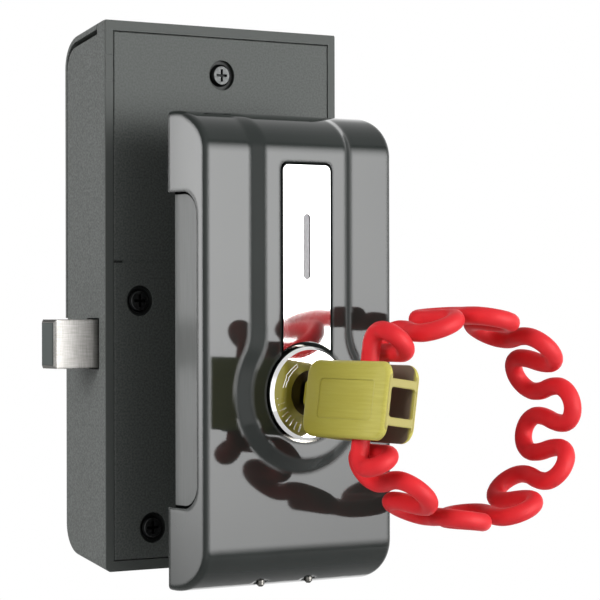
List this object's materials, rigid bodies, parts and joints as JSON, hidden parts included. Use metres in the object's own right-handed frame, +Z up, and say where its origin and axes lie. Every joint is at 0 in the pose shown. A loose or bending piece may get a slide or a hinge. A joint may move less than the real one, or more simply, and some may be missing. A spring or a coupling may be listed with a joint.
{
  "type": "locker lock",
  "caption": "Locker lock with a square deadbolt, an outer reader unit, an inner battery case and a key on a zigzag wristband.",
  "frame": {"origin": "where the cylinder axis meets the door's outer face", "axes": "+X right seen from outside, +Y through the door into the locker, +Z up"},
  "size_m": [0.1304, 0.1177, 0.1677],
  "materials": {
    "graphite_cover": "smooth high gloss moulded plastic",
    "graphite_insert": "smooth high gloss moulded plastic",
    "base_plastic": "matte",
    "mirror_chrome": "polished plating",
    "light_lens": "clear moulded lens",
    "circuit_board": "solder mask",
    "copper_winding": "lacquered wire",
    "stud_metal": "turned",
    "nickel": "nickel plating",
    "key_steel": "milled",
    "gear_steel": "machined",
    "satin_bolt": "ground along its height",
    "olive_grip": "semi-matte moulded plastic",
    "tag_glass": "sealed tube",
    "red_elastomer": "smooth silky elastomer",
    "case_plastic": "fine grained",
    "plate_coat": "fine grained powder coat",
    "screw_steel": "zinc plating",
    "chassis_zinc": "zinc plated sheet",
    "coil_wrap": "taped winding in a steel yoke",
    "spring_steel": "drawn wire",
    "cell_sleeve": "shrink sleeve",
    "contact_nickel": "nickel plated strip",
    "cable_jacket": "smooth jacket"
  },
  "bodies": {
    "lock": {"front_cover": "graphite_cover", "side_insert": "graphite_insert", "base_plate": "base_plastic", "fascia_plate": "mirror_chrome", "light_pipe": "light_lens", "reader_board": "circuit_board", "antenna_coil": "copper_winding", "contact_studs": "stud_metal", "cylinder_rosette": "mirror_chrome", "cylinder_housing": "nickel", "cylinder_nut": "nickel", "case_shell": "case_plastic", "case_plate": "plate_coat", "plate_screws": "screw_steel", "fixing_bolts": "screw_steel", "lock_chassis": "chassis_zinc", "chassis_pillars": "gear_steel", "solenoid": "coil_wrap", "pin_spring": "spring_steel", "batteries": "cell_sleeve", "battery_contacts": "contact_nickel", "control_board": "circuit_board", "link_cable": "cable_jacket"},
    "plug": {"cylinder_plug": "nickel", "wafers": "nickel", "plug_clip": "spring_steel", "drive_spindle": "gear_steel", "drive_pinion": "gear_steel"},
    "key": {"key_blade": "key_steel", "key_head": "olive_grip", "transponder": "tag_glass", "wristband": "red_elastomer"},
    "deadbolt": {"bolt": "satin_bolt"},
    "pin": {"blocking_pin": "gear_steel"},
    "cover": {"battery_cover": "case_plastic"}
  },
  "joints": [
    {"name": "plug_turn", "type": "hinge", "parent": "lock", "child": "plug", "pos_m": [0, 0, 0], "axis": [0, 1, 0], "range_deg": [0, 90]},
    {"name": "key_pull", "type": "slide", "parent": "plug", "child": "key", "axis": [0, -1, 0], "range_m": [0, 0.03]},
    {"name": "bolt_slide", "type": "slide", "parent": "lock", "child": "deadbolt", "axis": [1, 0, 0], "range_m": [0, 0.01493]},
    {"name": "battery_cover_off", "type": "slide", "parent": "lock", "child": "cover", "axis": [0, 1, 0], "range_m": [0, 0.03]},
    {"name": "pin_drop", "type": "slide", "parent": "lock", "child": "pin", "axis": [0, 0, -1], "range_m": [0, 0.0035], "stiffness_N_per_m": 790, "springref_m": -0.0002, "deforming": ["pin_spring"]}
  ],
  "couplings": [
    {"joint": "bolt_slide", "follows": "plug_turn", "m_per_rad": 0.0095}
  ]
}
